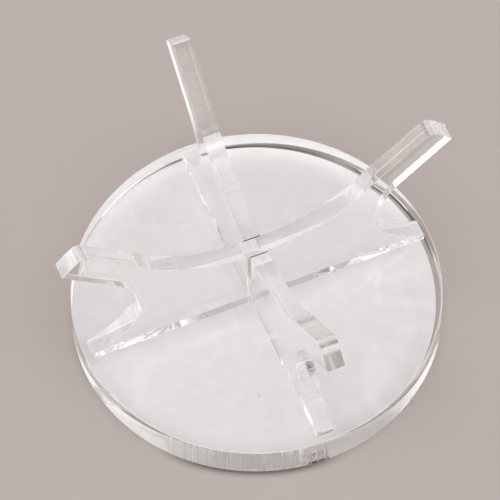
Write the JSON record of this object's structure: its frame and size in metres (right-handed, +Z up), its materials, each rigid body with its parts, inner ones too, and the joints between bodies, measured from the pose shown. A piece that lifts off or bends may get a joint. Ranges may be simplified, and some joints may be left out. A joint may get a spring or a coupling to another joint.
{
  "type": "display stand",
  "caption": "Clear acrylic display stand: a thick round base with crossed profile plates that cradle a ball or round model between flared horns.",
  "frame": {"origin": "on the standing surface, under the centre of the stand", "axes": "+Z up; +X along the plate whose slot opens downwards, +Y along the plate whose slot opens upwards"},
  "size_m": [0.1112, 0.1112, 0.0625],
  "materials": {
    "clear_acrylic": "clear cast acrylic, polished faces with fine cutting ridges on the cut edges",
    "cement": "clear acrylic cement with small bubbles",
    "white_film": "thin translucent white film"
  },
  "bodies": {
    "root": {"base_disc": "clear_acrylic", "underside_film": "white_film", "cradle_plate_slotted_below": "clear_acrylic", "cradle_plate_slotted_above": "clear_acrylic", "cement_right": "cement", "cement_back": "cement", "cement_left": "cement", "cement_front": "cement"}
  },
  "joints": []
}
